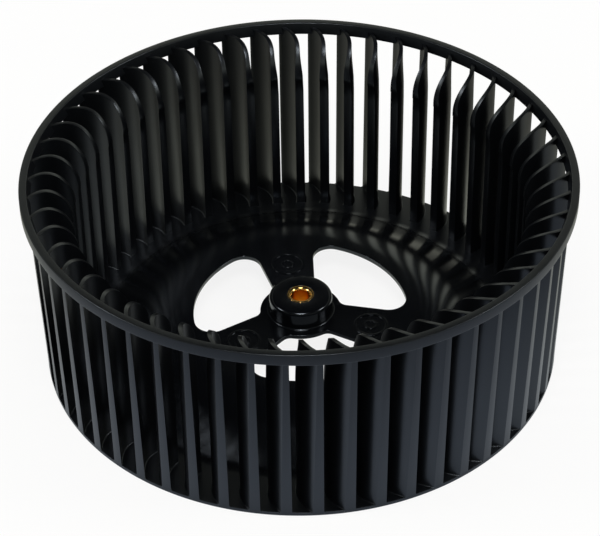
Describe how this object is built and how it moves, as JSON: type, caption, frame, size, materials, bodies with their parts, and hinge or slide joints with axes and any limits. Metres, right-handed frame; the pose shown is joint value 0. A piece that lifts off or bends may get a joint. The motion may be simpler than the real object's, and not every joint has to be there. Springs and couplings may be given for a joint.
{
  "type": "centrifugal fan wheel",
  "caption": "Black moulded centrifugal fan wheel with forward-curved blades round a pierced back plate, an outlet ring, and a brass bush in the hub.",
  "frame": {"origin": "on the wheel's axis, in the plane of the base flange's underside", "axes": "+Z along the wheel's axis, from the back plate towards the inlet"},
  "size_m": [0.15, 0.15, 0.0584],
  "materials": {
    "black_plastic": "semi-gloss moulded",
    "brass": "turned"
  },
  "bodies": {
    "root": {"fan_wheel": "black_plastic", "hub_bush": "brass"}
  },
  "joints": []
}
